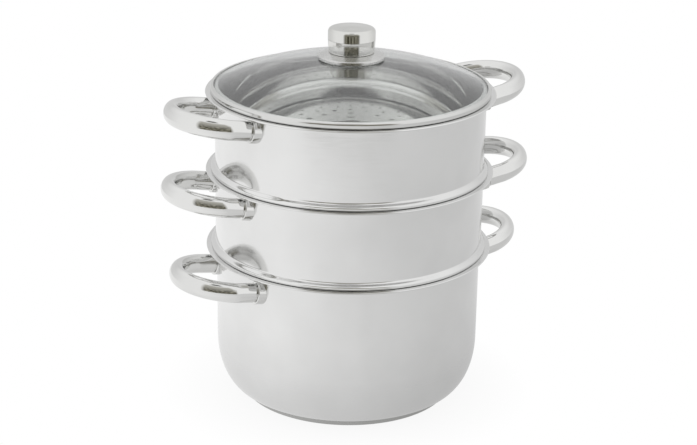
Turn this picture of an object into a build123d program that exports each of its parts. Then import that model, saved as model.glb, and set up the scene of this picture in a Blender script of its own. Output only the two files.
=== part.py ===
from build123d import *
from math import asin, atan, cos, degrees, radians, sin, sqrt
import os

# Steamer pot: a stock pot, two steamers that nest in it and a domed glass lid.
# Millimetres, +Z up. The origin is the centre of the base's underside, and the pot's
# two handles lie along X.

# Stack
lip_radius = 150.0
lip_thickness = 1.8
pot_height = 163.0
tier_pitch = 83.0
seat_clearance = 0.3
weld_clearance = 0.05

# Pot wall and bottom
pot_lip_width = 11.0
pot_sheet = 0.8
pot_corner_width = 28.0
pot_corner_height = 54.0

# Sandwich base under the pot
base_height = 6.0
base_overlap = 1.0
base_sheet = 0.6
base_edge_radius = 2.0

# Steamers
steamer_lip_width = 9.8
steamer_sheet = 0.7
neck_clearance = 1.4
steamer_nest_depth = 18.0
steamer_floor_corner = 8.0
bead_stand_out = 4.6
bead_side_height = 2.8
bead_height = 7.2
bead_edge_radius = 1.0

# Steam holes in each steamer's floor
steam_hole_diameter = 4.0
steam_field_margin = 34.8
steam_ring_count = 6
steam_holes_per_ring_step = 6

# Flared rims
rim_flare_outside = 3.2
rim_flare_inside = 3.6

# Loop handles: hollow oval tube on welded collars
tube_half_width = 8.0
tube_half_height = 10.0
tube_wall = 1.2
handle_half_spread = 46.4
handle_leg = 22.4
handle_bow = 42.5
handle_corner_radius = 26.0
handle_rise_angle = 9.6
pot_handle_drop = 18.4
steamer_handle_drop = 15.2
pot_handle_turn = 0.0
lower_handle_turn = -6.3
upper_handle_turn = -1.8
neck_show = 6.4
neck_insert = 9.0
collar_gap = 1.2
collar_margin = 2.0
collar_edge_radius = 0.9

# Lid glass
glass_thickness = 4.0
glass_crown_height = 35.0
glass_edge_height = 5.0
glass_edge_cover = 2.4
glass_hole_radius = 4.5
glass_fit = 0.1

# Lid ring round the glass
ring_lip_inset = 5.2
ring_height = 6.0
ring_top_inset = 1.8
ring_width = 3.6
ring_skirt_clearance = 2.3
ring_skirt_depth = 8.0
ring_sheet = 0.9
ring_edge_radius = 0.8

# Knob, its base plate and its fixing
knob_cup_radius = 23.6
knob_cap_radius = 24.4
knob_height = 26.6
knob_seam_height = 13.6
knob_sheet = 1.0
knob_edge_radius = 4.0
knob_crown = 1.2
knob_spigot_depth = 3.0
plate_radius = 34.4
plate_edge_height = 4.1
plate_rise = 2.5
plate_sheet = 1.2
plate_edge_inset = 1.6
screw_radius = 2.5
screw_head_radius = 5.5
screw_head_height = 3.0
screw_length_in_knob = 12.0
screw_slot_width = 1.2
screw_slot_depth = 1.4
insert_radius = 6.0
insert_height = 14.0
insert_cap_height = 2.0
gasket_radius = 13.0
lower_gasket_thickness = 1.5
lower_washer_radius = 12.0
lower_washer_thickness = 1.2
fit_clearance = 0.1

cut_overrun = 5.0

# Radii worked out from the lip
pot_wall_radius = lip_radius - pot_lip_width
steamer_wall_radius = lip_radius - steamer_lip_width
steamer_neck_radius = pot_wall_radius - pot_sheet - neck_clearance
bead_radius = steamer_wall_radius + bead_stand_out
base_radius = pot_wall_radius - pot_corner_width + base_overlap
steam_ring_step = (steamer_neck_radius - steam_field_margin) / steam_ring_count
ring_radius = lip_radius - ring_lip_inset
ring_top_radius = ring_radius - ring_top_inset
ring_inner_radius = ring_radius - ring_width
ring_skirt_radius = steamer_wall_radius - steamer_sheet - ring_skirt_clearance
glass_edge_radius = ring_radius - glass_edge_cover

# Heights worked out from the stack
pot_rim = pot_height
lower_rim = pot_rim + tier_pitch
upper_rim = lower_rim + tier_pitch
lid_level = upper_rim

# Heights above the lid's level, worked out from the glass
dome_rise = glass_crown_height - glass_edge_height
dome_radius = (glass_edge_radius**2 + dome_rise**2) / (2 * dome_rise)
dome_centre_level = glass_crown_height - dome_radius
plate_edge_level = dome_centre_level + sqrt(dome_radius**2 - plate_radius**2) + seat_clearance
plate_top_level = plate_edge_level + plate_edge_height + plate_rise
knob_level = plate_top_level + fit_clearance
glass_under_radius = dome_radius - glass_thickness
glass_under = dome_centre_level + sqrt(glass_under_radius**2 - gasket_radius**2)
upper_gasket_thickness = plate_top_level - plate_sheet - glass_crown_height - 2 * fit_clearance
cup_taper_share = (knob_cap_radius - knob_cup_radius) / knob_seam_height


def write(part, name):
    """Label a finished piece and write it as its own STEP file."""
    part.label = name
    export_step(part, f"parts/{name}.step")


def rim_outline(wall_radius, sheet, rim, outside_foot, inside_foot):
    """Draw a flared rim from the wall's outer foot point over to its inner one."""
    inner_radius = wall_radius - sheet
    under_lip = rim - lip_thickness
    edge_radius = lip_thickness / 2
    flare_start = (wall_radius, under_lip - rim_flare_outside)
    flare_end = (wall_radius + rim_flare_outside, under_lip)
    lip_start = (lip_radius - edge_radius, under_lip)
    lip_tip = (lip_radius, rim - edge_radius)
    lip_end = (lip_radius - edge_radius, rim)
    inside_start = (inner_radius + rim_flare_inside, rim)
    inside_end = (inner_radius, rim - rim_flare_inside)
    bend = 1 - cos(radians(45))
    outside_middle = (
        wall_radius + rim_flare_outside * bend,
        under_lip - rim_flare_outside * bend,
    )
    inside_middle = (
        inner_radius + rim_flare_inside * bend,
        rim - rim_flare_inside * bend,
    )
    Line(outside_foot, flare_start)
    ThreePointArc(flare_start, outside_middle, flare_end)
    Line(flare_end, lip_start)
    ThreePointArc(lip_start, lip_tip, lip_end)
    Line(lip_end, inside_start)
    ThreePointArc(inside_start, inside_middle, inside_end)
    Line(inside_end, inside_foot)


def make_pot_body():
    """Deep-drawn pot: flat bottom, tall soft corner, straight wall, flared rim."""
    flat_radius = pot_wall_radius - pot_corner_width
    corner_top = base_height + pot_corner_height
    inner_wall = pot_wall_radius - pot_sheet
    with BuildPart() as pot_body:
        with BuildSketch(Plane.XZ):
            with BuildLine():
                Line((0, base_height), (flat_radius, base_height))
                EllipticalCenterArc(
                    (flat_radius, corner_top),
                    pot_corner_width,
                    pot_corner_height,
                    start_angle=270,
                    arc_size=90,
                )
                rim_outline(
                    pot_wall_radius,
                    pot_sheet,
                    pot_rim,
                    (pot_wall_radius, corner_top),
                    (inner_wall, corner_top),
                )
                EllipticalCenterArc(
                    (flat_radius, corner_top),
                    pot_corner_width - pot_sheet,
                    pot_corner_height - pot_sheet,
                    start_angle=270,
                    arc_size=90,
                )
                Line((flat_radius, base_height + pot_sheet), (0, base_height + pot_sheet))
                Line((0, base_height + pot_sheet), (0, base_height))
            make_face()
        revolve(axis=Axis.Z)
    return pot_body.part


def make_base_core():
    """Aluminium heat-spreading disc between the pot's bottom and the base cap."""
    core_height = base_height - base_sheet - 2 * weld_clearance
    core_radius = base_radius - base_sheet - weld_clearance
    with BuildPart() as base_core:
        with BuildSketch(Plane.XY.offset(base_sheet + weld_clearance)):
            Circle(core_radius)
        extrude(amount=core_height)
        under_edge = base_core.edges().filter_by(GeomType.CIRCLE).sort_by(Axis.Z)[0]
        fillet(under_edge, radius=base_edge_radius)
    return base_core.part


def make_base_cap():
    """Stainless cap that wraps the core's underside and edge."""
    with BuildPart() as base_cap:
        with BuildSketch():
            Circle(base_radius)
        extrude(amount=base_height - weld_clearance)
        outer_edge = base_cap.edges().filter_by(GeomType.CIRCLE).sort_by(Axis.Z)[0]
        fillet(outer_edge, radius=base_edge_radius)
        with BuildSketch(Plane.XY.offset(base_sheet)):
            Circle(base_radius - base_sheet)
        hollow = extrude(amount=base_height, mode=Mode.PRIVATE)
        inner_edge = hollow.edges().filter_by(GeomType.CIRCLE).sort_by(Axis.Z)[0]
        add(hollow.fillet(base_edge_radius, [inner_edge]), mode=Mode.SUBTRACT)
    return base_cap.part


def make_steamer_shell(seat_level, rim):
    """Steamer: pierced floor, nesting neck, pressed-out seat bead, wall and flared rim."""
    floor_under = seat_level - steamer_nest_depth
    floor_top = floor_under + steamer_sheet
    inner_neck = steamer_neck_radius - steamer_sheet
    inner_wall = steamer_wall_radius - steamer_sheet
    inner_corner = steamer_floor_corner - steamer_sheet
    corner_centre = (steamer_neck_radius - steamer_floor_corner, floor_under + steamer_floor_corner)
    inner_bead = bead_radius - steamer_sheet
    bead_under = seat_level + seat_clearance
    bead_side_top = seat_level + bead_side_height
    bead_top = seat_level + bead_height
    edge_centre = (bead_radius - bead_edge_radius, bead_under + bead_edge_radius)
    with BuildPart() as shell:
        with BuildSketch(Plane.XZ):
            with BuildLine():
                Line((0, floor_under), (corner_centre[0], floor_under))
                CenterArc(corner_centre, steamer_floor_corner, 270, 90)
                Polyline(
                    (steamer_neck_radius, corner_centre[1]),
                    (steamer_neck_radius, bead_under),
                    (edge_centre[0], bead_under),
                )
                CenterArc(edge_centre, bead_edge_radius, 270, 90)
                Line((bead_radius, edge_centre[1]), (bead_radius, bead_side_top))
                Spline(
                    (bead_radius, bead_side_top),
                    (steamer_wall_radius, bead_top),
                    tangents=((0, 1), (0, 1)),
                )
                rim_outline(
                    steamer_wall_radius,
                    steamer_sheet,
                    rim,
                    (steamer_wall_radius, bead_top),
                    (inner_wall, bead_top),
                )
                Spline(
                    (inner_wall, bead_top),
                    (inner_bead, bead_side_top),
                    tangents=((0, -1), (0, -1)),
                )
                Line((inner_bead, bead_side_top), (inner_bead, edge_centre[1]))
                CenterArc(edge_centre, bead_edge_radius - steamer_sheet, 270, 90)
                Polyline(
                    (edge_centre[0], bead_under + steamer_sheet),
                    (inner_neck, bead_under + steamer_sheet),
                    (inner_neck, corner_centre[1]),
                )
                CenterArc(corner_centre, inner_corner, 270, 90)
                Line((corner_centre[0], floor_top), (0, floor_top))
                Line((0, floor_top), (0, floor_under))
            make_face()
        revolve(axis=Axis.Z)
        # One steam hole in the middle, then rings of six, twelve and so on
        with BuildSketch(Plane.XY.offset(floor_under - cut_overrun)):
            Circle(steam_hole_diameter / 2)
            for ring in range(1, steam_ring_count + 1):
                with PolarLocations(ring * steam_ring_step, ring * steam_holes_per_ring_step):
                    Circle(steam_hole_diameter / 2)
        extrude(amount=2 * cut_overrun, mode=Mode.SUBTRACT)
    return shell.part


def handle_plane(wall_radius, rim, drop, turn, side):
    """Plane of a handle: its x runs outwards and up, its y along the wall."""
    seat_run = sqrt(wall_radius**2 - handle_half_spread**2)
    azimuth = radians(turn) + (0 if side > 0 else radians(180))
    rise = radians(handle_rise_angle)
    outwards = (cos(rise) * cos(azimuth), cos(rise) * sin(azimuth), sin(rise))
    upwards = (-sin(rise) * cos(azimuth), -sin(rise) * sin(azimuth), cos(rise))
    origin = (seat_run * cos(azimuth), seat_run * sin(azimuth), rim - drop)
    return Plane(origin=origin, x_dir=outwards, z_dir=upwards)


def make_handle(wall_radius, rim, drop, turn, side):
    """Hollow loop: two straight legs, two tight corners and one wide bow."""
    corner = handle_corner_radius
    corner_share = (handle_bow - corner) / (handle_half_spread - corner)
    corner_turn = 90 - 2 * degrees(atan(corner_share))
    bow_radius = corner + (handle_half_spread - corner) / cos(radians(corner_turn))
    bow_centre = handle_leg + handle_bow - bow_radius
    plane = handle_plane(wall_radius, rim, drop, turn, side)
    with BuildPart() as handle:
        with BuildLine(plane) as route:
            Line((neck_show, -handle_half_spread), (handle_leg, -handle_half_spread))
            CenterArc((handle_leg, corner - handle_half_spread), corner, -90, corner_turn)
            CenterArc((bow_centre, 0), bow_radius, corner_turn - 90, 180 - 2 * corner_turn)
            CenterArc(
                (handle_leg, handle_half_spread - corner), corner, 90 - corner_turn, corner_turn
            )
            Line((handle_leg, handle_half_spread), (neck_show, handle_half_spread))
        start = Plane(origin=route.line @ 0, x_dir=plane.y_dir, z_dir=route.line % 0)
        with BuildSketch(start):
            Ellipse(tube_half_width, tube_half_height)
            Ellipse(tube_half_width - tube_wall, tube_half_height - tube_wall, mode=Mode.SUBTRACT)
        sweep(path=route.line)
    return handle.part


def make_bracket(wall_radius, rim, drop, turn, side, end):
    """Bracket: an oval collar shaped to the wall, with a neck that fills the tube's end."""
    plane = handle_plane(wall_radius, rim, drop, turn, side)
    foot = plane.from_local_coords((0, end * handle_half_spread, 0))
    foot_plane = Plane(origin=foot, x_dir=plane.y_dir, z_dir=plane.x_dir)
    neck_gap = tube_wall + fit_clearance
    collar_show = neck_show - collar_gap
    flare_level = rim - lip_thickness - rim_flare_outside
    relief_height = 2 * tube_half_height
    with BuildPart() as bracket:
        with BuildSketch(foot_plane.offset(-tube_half_width)):
            Ellipse(tube_half_width + collar_margin, tube_half_height + collar_margin)
        extrude(amount=tube_half_width + collar_show)
        outer_face = bracket.faces().sort_by(Axis(foot, plane.x_dir))[-1]
        fillet(outer_face.edges(), radius=collar_edge_radius)
        with BuildSketch(foot_plane.offset(-tube_half_width)):
            Ellipse(tube_half_width - neck_gap, tube_half_height - neck_gap)
        extrude(amount=tube_half_width + neck_show + neck_insert)
        with Locations((0, 0, rim - drop)):
            Cylinder(wall_radius + weld_clearance, 4 * tube_half_height, mode=Mode.SUBTRACT)
        # The collar's inner top edge is relieved where the rim begins to flare
        with Locations((0, 0, flare_level + relief_height / 2)):
            Cylinder(wall_radius + rim_flare_outside / 2, relief_height, mode=Mode.SUBTRACT)
    return bracket.part


def dome(extra):
    """Glass dome, grown by extra on every side for cutting its channel."""
    centre = lid_level + dome_centre_level
    outer = dome_radius + extra
    inner = dome_radius - glass_thickness - extra
    edge_angle = asin(glass_edge_radius / dome_radius) + extra / dome_radius
    hole_angle = asin(glass_hole_radius / dome_radius)

    def on_arc(radius, angle):
        return (radius * sin(angle), centre + radius * cos(angle))

    middle = (edge_angle + hole_angle) / 2
    with BuildPart() as glass:
        with BuildSketch(Plane.XZ):
            with BuildLine():
                ThreePointArc(
                    on_arc(outer, hole_angle), on_arc(outer, middle), on_arc(outer, edge_angle)
                )
                Line(on_arc(outer, edge_angle), on_arc(inner, edge_angle))
                ThreePointArc(
                    on_arc(inner, edge_angle), on_arc(inner, middle), on_arc(inner, hole_angle)
                )
                Line(on_arc(inner, hole_angle), on_arc(outer, hole_angle))
            make_face()
        revolve(axis=Axis.Z)
    return glass.part


def make_lid_ring():
    """Rolled steel ring that grips the glass edge and seats in the rim below."""
    skirt_inside = ring_skirt_radius - ring_sheet
    ring_under = lid_level + seat_clearance
    ring_top = lid_level + ring_height
    foot_inside = skirt_inside - ring_sheet
    inside_glass = lid_level + glass_edge_height - glass_thickness / 4
    with BuildPart() as lid_ring:
        with BuildSketch(Plane.XZ):
            with BuildLine():
                Polyline(
                    (skirt_inside, lid_level - ring_skirt_depth),
                    (ring_skirt_radius, lid_level - ring_skirt_depth),
                    (ring_skirt_radius, ring_under),
                    (ring_radius, ring_under),
                    (ring_radius, lid_level + ring_height / 2),
                    (ring_top_radius, ring_top),
                    (ring_inner_radius + ring_sheet, ring_top + ring_sheet),
                    (ring_inner_radius, ring_top + ring_sheet / 2),
                    (ring_inner_radius, inside_glass),
                    (foot_inside, inside_glass),
                    (foot_inside, lid_level - ring_sheet),
                    (skirt_inside, lid_level - 2 * ring_sheet),
                    close=True,
                )
            make_face()
        revolve(axis=Axis.Z)
        add(dome(glass_fit), mode=Mode.SUBTRACT)
        outer_edges = lid_ring.edges().filter_by(GeomType.CIRCLE)
        outside = (glass_edge_radius + ring_top_radius) / 2
        outer_edges = [edge for edge in outer_edges if edge.radius > outside]
        fillet(outer_edges, radius=ring_edge_radius)
    return lid_ring.part


def make_knob_plate():
    """Pressed base plate under the knob: rolled edge, shallow cone, flat middle."""
    edge_under = lid_level + plate_edge_level
    edge_top = edge_under + plate_edge_height
    middle_top = edge_top + plate_rise
    middle_under = middle_top - plate_sheet
    shoulder = plate_radius - plate_edge_inset
    inner_shoulder = shoulder - plate_sheet
    with BuildPart() as knob_plate:
        with BuildSketch(Plane.XZ):
            with BuildLine():
                Line((plate_radius, edge_under), (plate_radius, edge_top - plate_edge_inset))
                ThreePointArc(
                    (plate_radius, edge_top - plate_edge_inset),
                    (
                        shoulder + plate_edge_inset * cos(radians(45)),
                        edge_top - plate_edge_inset + plate_edge_inset * sin(radians(45)),
                    ),
                    (shoulder, edge_top),
                )
                Polyline(
                    (shoulder, edge_top),
                    (knob_cup_radius, middle_top),
                    (screw_radius + fit_clearance, middle_top),
                    (screw_radius + fit_clearance, middle_under),
                    (knob_cup_radius, middle_under),
                    (inner_shoulder, edge_top - plate_sheet),
                    (plate_radius - plate_sheet, edge_under),
                    (plate_radius, edge_under),
                )
            make_face()
        revolve(axis=Axis.Z)
    return knob_plate.part


def make_knob_cup():
    """Lower half of the hollow knob, with a hole for the insert's neck."""
    under = lid_level + knob_level
    seam = under + knob_seam_height
    inner_cup = knob_cup_radius - knob_sheet
    with BuildPart() as knob_cup:
        with BuildSketch(Plane.XZ):
            Polygon(
                (screw_radius + fit_clearance, under),
                (knob_cup_radius, under),
                (knob_cap_radius, seam - fit_clearance),
                (knob_cap_radius - knob_sheet, seam - fit_clearance),
                (inner_cup, under + knob_sheet),
                (screw_radius + fit_clearance, under + knob_sheet),
                align=None,
            )
        revolve(axis=Axis.Z)
        foot_edge = knob_cup.edges().filter_by(GeomType.CIRCLE).sort_by(Axis.Z)[:2]
        foot_edge = foot_edge.sort_by(SortBy.RADIUS)[-1]
        fillet(foot_edge, radius=knob_sheet / 2)
    return knob_cup.part


def make_knob_cap():
    """Upper half of the knob: crowned top, rounded edge and a spigot inside the cup."""
    seam = lid_level + knob_level + knob_seam_height
    top = lid_level + knob_level + knob_height
    edge_top = top - knob_crown
    flat_radius = knob_cap_radius - knob_edge_radius
    inner_radius = knob_cap_radius - knob_sheet
    spigot_outside = inner_radius - knob_spigot_depth * cup_taper_share - fit_clearance
    bend = cos(radians(45))
    with BuildPart() as knob_cap:
        with BuildSketch(Plane.XZ):
            with BuildLine():
                Line((knob_cap_radius, seam), (knob_cap_radius, edge_top - knob_edge_radius))
                ThreePointArc(
                    (knob_cap_radius, edge_top - knob_edge_radius),
                    (
                        flat_radius + knob_edge_radius * bend,
                        edge_top - knob_edge_radius + knob_edge_radius * bend,
                    ),
                    (flat_radius, edge_top),
                )
                Spline((flat_radius, edge_top), (0, top), tangents=((-1, 0), (-1, 0)))
                Line((0, top), (0, top - knob_sheet))
                Spline(
                    (0, top - knob_sheet),
                    (flat_radius, edge_top - knob_sheet),
                    tangents=((1, 0), (1, 0)),
                )
                ThreePointArc(
                    (flat_radius, edge_top - knob_sheet),
                    (
                        flat_radius + (knob_edge_radius - knob_sheet) * bend,
                        edge_top - knob_edge_radius + (knob_edge_radius - knob_sheet) * bend,
                    ),
                    (inner_radius, edge_top - knob_edge_radius),
                )
                Polyline(
                    (inner_radius, edge_top - knob_edge_radius),
                    (inner_radius, seam + knob_sheet),
                    (spigot_outside - knob_sheet, seam),
                    (spigot_outside - knob_sheet, seam - knob_spigot_depth),
                    (spigot_outside, seam - knob_spigot_depth),
                    (spigot_outside, seam),
                    (knob_cap_radius, seam),
                )
            make_face()
        revolve(axis=Axis.Z)
    return knob_cap.part


def make_knob_insert():
    """Threaded post welded inside the knob; the screw from below runs into it."""
    under = lid_level + knob_level + knob_sheet
    with BuildPart() as knob_insert:
        with BuildSketch(Plane.XY.offset(under)):
            Circle(insert_radius)
            Circle(screw_radius + fit_clearance, mode=Mode.SUBTRACT)
        extrude(amount=insert_height)
        with BuildSketch(Plane.XY.offset(under + insert_height)):
            Circle(insert_radius)
        extrude(amount=insert_cap_height)
        top_edge = knob_insert.edges().filter_by(GeomType.CIRCLE).sort_by(Axis.Z)[-1]
        chamfer(top_edge, length=insert_cap_height / 2)
    return knob_insert.part


def make_knob_screw():
    """Slotted screw from under the glass up into the knob's insert."""
    head_top = lid_level + glass_under - lower_gasket_thickness - lower_washer_thickness
    head_top = head_top - 3 * fit_clearance
    shank_top = lid_level + knob_level + knob_sheet + screw_length_in_knob
    with BuildPart() as knob_screw:
        with BuildSketch(Plane.XY.offset(head_top - screw_head_height)):
            Circle(screw_head_radius)
        extrude(amount=screw_head_height)
        head_edge = knob_screw.edges().filter_by(GeomType.CIRCLE).sort_by(Axis.Z)[0]
        fillet(head_edge, radius=screw_head_height / 3)
        with BuildSketch(Plane.XY.offset(head_top)):
            Circle(screw_radius)
        extrude(amount=shank_top - head_top)
        tip_edge = knob_screw.edges().filter_by(GeomType.CIRCLE).sort_by(Axis.Z)[-1]
        chamfer(tip_edge, length=screw_radius / 4)
        with BuildSketch(Plane.XY.offset(head_top - screw_head_height)):
            Rectangle(3 * screw_head_radius, screw_slot_width)
        extrude(amount=screw_slot_depth, mode=Mode.SUBTRACT)
    return knob_screw.part


def make_ring_disc(radius, bore_radius, level, thickness, edge_radius):
    """Flat round disc with a bore and softened outer edges."""
    with BuildPart() as disc:
        with BuildSketch(Plane.XY.offset(level)):
            Circle(radius)
            Circle(bore_radius, mode=Mode.SUBTRACT)
        extrude(amount=thickness)
        outer_edges = disc.edges().filter_by(GeomType.CIRCLE)
        outer_edges = outer_edges.sort_by(SortBy.RADIUS)[-2:]
        fillet(outer_edges, radius=edge_radius)
    return disc.part


# Every piece, written as its own file
os.makedirs("parts", exist_ok=True)
write(make_pot_body(), "pot_body")
write(make_base_core(), "base_core")
write(make_base_cap(), "base_cap")
write(make_steamer_shell(pot_rim, lower_rim), "lower_steamer_shell")
write(make_steamer_shell(lower_rim, upper_rim), "upper_steamer_shell")

tiers = (
    ("pot", pot_wall_radius, pot_rim, pot_handle_drop, pot_handle_turn),
    ("lower_steamer", steamer_wall_radius, lower_rim, steamer_handle_drop, lower_handle_turn),
    ("upper_steamer", steamer_wall_radius, upper_rim, steamer_handle_drop, upper_handle_turn),
)
for tier, wall_radius, rim, drop, turn in tiers:
    for side_name, side in (("right", 1), ("left", -1)):
        handle = make_handle(wall_radius, rim, drop, turn, side)
        write(handle, f"{tier}_handle_{side_name}")
        for end_name, end in (("front", -side), ("rear", side)):
            bracket = make_bracket(wall_radius, rim, drop, turn, side, end)
            write(bracket, f"{tier}_bracket_{side_name}_{end_name}")

write(dome(0), "lid_glass")
write(make_lid_ring(), "lid_ring")
write(make_knob_plate(), "knob_plate")
write(make_knob_cup(), "knob_cup")
write(make_knob_cap(), "knob_cap")
write(make_knob_insert(), "knob_insert")
write(make_knob_screw(), "knob_screw")

gasket_bore = screw_radius + fit_clearance
upper_gasket_under = lid_level + glass_crown_height + fit_clearance
upper_gasket = make_ring_disc(
    gasket_radius,
    gasket_bore,
    upper_gasket_under,
    upper_gasket_thickness,
    upper_gasket_thickness / 4,
)
write(upper_gasket, "upper_gasket")

lower_gasket_under = lid_level + glass_under - lower_gasket_thickness - fit_clearance
lower_gasket = make_ring_disc(
    gasket_radius,
    gasket_bore,
    lower_gasket_under,
    lower_gasket_thickness,
    lower_gasket_thickness / 4,
)
write(lower_gasket, "lower_gasket")

lower_washer_under = lower_gasket_under - lower_washer_thickness - fit_clearance
lower_washer = make_ring_disc(
    lower_washer_radius,
    gasket_bore,
    lower_washer_under,
    lower_washer_thickness,
    lower_washer_thickness / 4,
)
write(lower_washer, "lower_washer")
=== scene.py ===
"""Looks of the steamer pot: stock pot, two steamers and a glass lid on a plain pale floor.

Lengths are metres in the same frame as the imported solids: +Z up, the origin under the
middle of the base, and the pot's two handles along X. Angles are degrees, apart from the
camera's pitch and roll and the angles that are said to be radians.
"""

import logging
from collections.abc import Sequence
from dataclasses import Field, dataclass, field
from enum import Enum
from itertools import pairwise
from math import asin, atan, cos, degrees, pi, radians, sin, sqrt

import bpy
from bpy.types import Material, Node, NodeSocket, NodeTree, Object
from mathutils import Matrix, Vector


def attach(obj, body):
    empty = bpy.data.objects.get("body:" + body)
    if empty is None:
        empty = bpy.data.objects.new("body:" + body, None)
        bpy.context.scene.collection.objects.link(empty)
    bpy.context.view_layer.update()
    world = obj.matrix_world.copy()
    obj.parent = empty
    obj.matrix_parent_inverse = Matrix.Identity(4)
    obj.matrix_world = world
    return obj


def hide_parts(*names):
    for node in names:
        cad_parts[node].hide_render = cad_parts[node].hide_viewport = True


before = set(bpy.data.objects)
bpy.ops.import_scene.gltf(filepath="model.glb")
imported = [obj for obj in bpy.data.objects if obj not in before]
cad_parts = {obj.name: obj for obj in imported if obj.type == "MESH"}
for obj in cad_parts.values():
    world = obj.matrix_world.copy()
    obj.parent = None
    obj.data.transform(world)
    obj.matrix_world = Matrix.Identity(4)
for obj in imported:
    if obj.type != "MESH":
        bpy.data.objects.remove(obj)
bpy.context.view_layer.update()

log = logging.getLogger("steamer_pot")

Point = tuple[float, float]
Span = tuple[float, float]
Colour = tuple[float, float, float]
Value = float | Colour | NodeSocket
Inputs = dict[str | int, Value]

WHITE: Colour = (1.0, 1.0, 1.0)


class Side(Enum):
    """Which end of the X axis a handle stands at."""

    RIGHT = 1
    LEFT = -1


class Grain(Enum):
    """How the polishing lines of a steel piece run."""

    AROUND = "around the axis"
    EVEN = "no direction"


class Skin(Enum):
    """Which of a steamer's two materials a face has."""

    OUTSIDE = 0
    INSIDE = 1


# Modelling helpers


def deselect() -> None:
    """Leave edit mode and drop every selection."""
    if bpy.context.object is not None and bpy.context.object.mode != "OBJECT":
        bpy.ops.object.mode_set(mode="OBJECT")
    bpy.ops.object.select_all(action="DESELECT")


def pick(piece: Object) -> None:
    """Make one piece the only selected and the active one.

    Args:
        piece: The piece.
    """
    deselect()
    piece.select_set(True)
    bpy.context.view_layer.objects.active = piece


def apply_place() -> None:
    """Carry the selected piece's place, turn and scale over to its mesh."""
    bpy.ops.object.transform_apply(location=True, rotation=True, scale=True)


def around(distance: float, azimuth: float, height: float) -> Vector:
    """The place at a distance from the axis, with its azimuth in radians, and at a height."""
    return Vector((distance * cos(azimuth), distance * sin(azimuth), height))


def arc(centre: Point, radius: float, start: float, end: float, steps: int) -> list[Point]:
    """Points along an arc of a profile, both ends included.

    Args:
        centre: Radius and height of the arc's centre.
        radius: Radius of the arc.
        start: Angle of the first point, 0 outwards and 90 up.
        end: Angle of the last point.
        steps: Number of runs between the points.

    Returns:
        The points from start to end.
    """
    turns = [radians(start + (end - start) * step / steps) for step in range(steps + 1)]
    return [(centre[0] + radius * cos(turn), centre[1] + radius * sin(turn)) for turn in turns]


def oval_arc(centre: Point, width: float, height: float, start: float, end: float) -> list[Point]:
    """Points along a quarter of an oval with half a width and height, as arc gives them."""
    quarter = arc((0, 0), 1, start, end, steps=16)
    return [(centre[0] + width * x, centre[1] + height * z) for x, z in quarter]


def soft_share(share: float) -> float:
    """The share of a way that starts and ends level, at a share of its length."""
    return share * share * (3 - 2 * share)


def finish_mesh(piece: Object, sharp: float = 35) -> Object:
    """Merge doubles, turn the faces outwards and smooth all but the sharp edges.

    Args:
        piece: The modelled piece.
        sharp: Edges sharper than this angle stay sharp.

    Returns:
        The same piece.
    """
    pick(piece)
    bpy.ops.object.mode_set(mode="EDIT")
    bpy.ops.mesh.select_all(action="SELECT")
    bpy.ops.mesh.remove_doubles(threshold=2e-6)
    bpy.ops.mesh.normals_make_consistent(inside=False)
    bpy.ops.object.mode_set(mode="OBJECT")
    bpy.ops.object.shade_smooth_by_angle(angle=radians(sharp))
    bpy.ops.object.modifier_add(type="WEIGHTED_NORMAL")
    weighting = piece.modifiers[-1]
    weighting.keep_sharp = True
    bpy.ops.object.modifier_apply(modifier=weighting.name)
    return piece


def fill_openings(piece: Object) -> None:
    """Close each open ring of edges with a flat face.

    Args:
        piece: The piece, which is left in object mode.
    """
    pick(piece)
    bpy.ops.object.mode_set(mode="EDIT")
    bpy.ops.mesh.select_all(action="DESELECT")
    bpy.ops.mesh.select_mode(type="EDGE")
    bpy.ops.mesh.select_non_manifold()
    bpy.ops.mesh.edge_face_add()
    bpy.ops.object.mode_set(mode="OBJECT")


def turn_on_axis(name: str, profile: Sequence[Point], sectors: int = 192) -> Object:
    """Draw a profile by extruding a point along it, then spin it about the axis.

    Args:
        name: Name of the new piece.
        profile: Radius and height of each point; the section is closed by the last
            point meeting the first, or by both lying on the axis.
        sectors: Number of sectors round the axis.

    Returns:
        The closed, smoothed piece, with its origin at the frame's origin.
    """
    deselect()
    bpy.ops.mesh.primitive_plane_add(size=0.01, location=(0, 0, 0))
    piece = bpy.context.object
    piece.name = name
    piece.data.name = name
    bpy.ops.object.mode_set(mode="EDIT")
    bpy.ops.mesh.select_mode(type="VERT")
    bpy.ops.mesh.select_all(action="SELECT")
    bpy.ops.mesh.merge(type="CENTER")
    bpy.ops.transform.translate(value=(profile[0][0], 0, profile[0][1]))
    for (r0, z0), (r1, z1) in pairwise(profile):
        bpy.ops.mesh.extrude_region_move(
            TRANSFORM_OT_translate={"value": (r1 - r0, 0, z1 - z0)}
        )
    bpy.ops.mesh.select_all(action="SELECT")
    bpy.ops.mesh.spin(steps=sectors, angle=2 * pi, center=(0, 0, 0), axis=(0, 0, 1))
    return finish_mesh(piece)


def upright_rod(sides: int, radius: float, depth: float, level: float) -> Object:
    """A plain rod on the axis, to cut with.

    Args:
        sides: Number of its sides.
        radius: Its radius.
        depth: Its length.
        level: Height of its middle.

    Returns:
        The rod, with its origin at the frame's origin.
    """
    deselect()
    bpy.ops.mesh.primitive_cylinder_add(
        vertices=sides, radius=radius, depth=depth, location=(0, 0, level)
    )
    apply_place()
    return bpy.context.object


def cut(piece: Object, cutter: Object, operation: str) -> None:
    """Apply a boolean with another mesh and delete that mesh.

    Args:
        piece: The piece that is changed.
        cutter: The mesh that it is cut by or joined with.
        operation: DIFFERENCE or UNION.
    """
    pick(piece)
    boolean = piece.modifiers.new("cut", "BOOLEAN")
    boolean.operation = operation
    boolean.object = cutter
    boolean.solver = "EXACT"
    bpy.ops.object.modifier_apply(modifier=boolean.name)
    bpy.data.objects.remove(cutter, do_unlink=True)


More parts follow.
